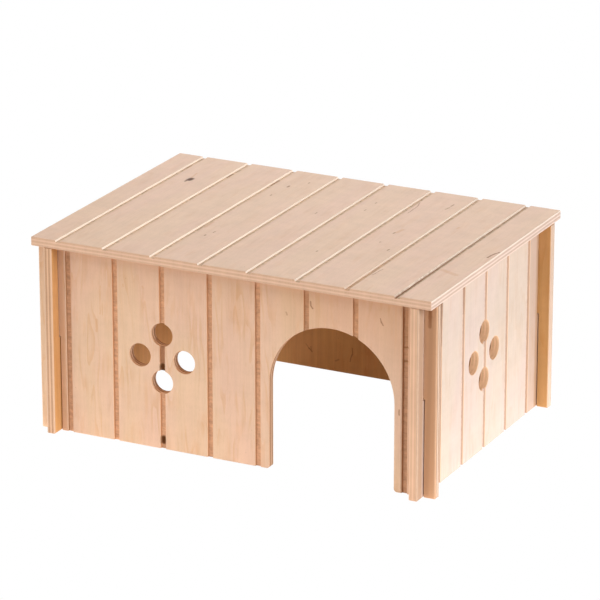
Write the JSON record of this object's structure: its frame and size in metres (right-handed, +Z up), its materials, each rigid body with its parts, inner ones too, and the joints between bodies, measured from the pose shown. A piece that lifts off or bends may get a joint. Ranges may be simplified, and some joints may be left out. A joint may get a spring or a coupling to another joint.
{
  "type": "small animal hideout",
  "caption": "Low flat-roofed plywood house for a small pet, with an arched doorway, vent holes and grooved boards that slot together at the corners.",
  "frame": {"origin": "middle of the footprint, on the floor that the walls stand on", "axes": "+Z up, the wall with the doorway faces -Y, +X to the right as one looks at the doorway"},
  "size_m": [0.33, 0.236, 0.156],
  "materials": {
    "front_wall": "matt, bare birch plywood",
    "back_wall": "matt, bare birch plywood",
    "left_wall": "matt, bare birch plywood",
    "right_wall": "matt, bare birch plywood",
    "roof": "matt, bare birch plywood",
    "roof_batten_front": "matt, bare softwood",
    "roof_batten_back": "matt, bare softwood"
  },
  "bodies": {
    "long_walls": {"front_wall": "front_wall", "back_wall": "back_wall"},
    "left_wall": {"left_wall": "left_wall"},
    "right_wall": {"right_wall": "right_wall"},
    "roof": {"roof": "roof", "roof_batten_front": "roof_batten_front", "roof_batten_back": "roof_batten_back"}
  },
  "joints": [
    {"name": "roof_lift", "type": "slide", "parent": "long_walls", "child": "roof", "axis": [0, 0, 1], "range_m": [0, 0.16]},
    {"name": "left_wall_slide", "type": "slide", "parent": "long_walls", "child": "left_wall", "axis": [0, 0, -1], "range_m": [0, 0.076]},
    {"name": "right_wall_slide", "type": "slide", "parent": "long_walls", "child": "right_wall", "axis": [0, 0, -1], "range_m": [0, 0.076]}
  ]
}
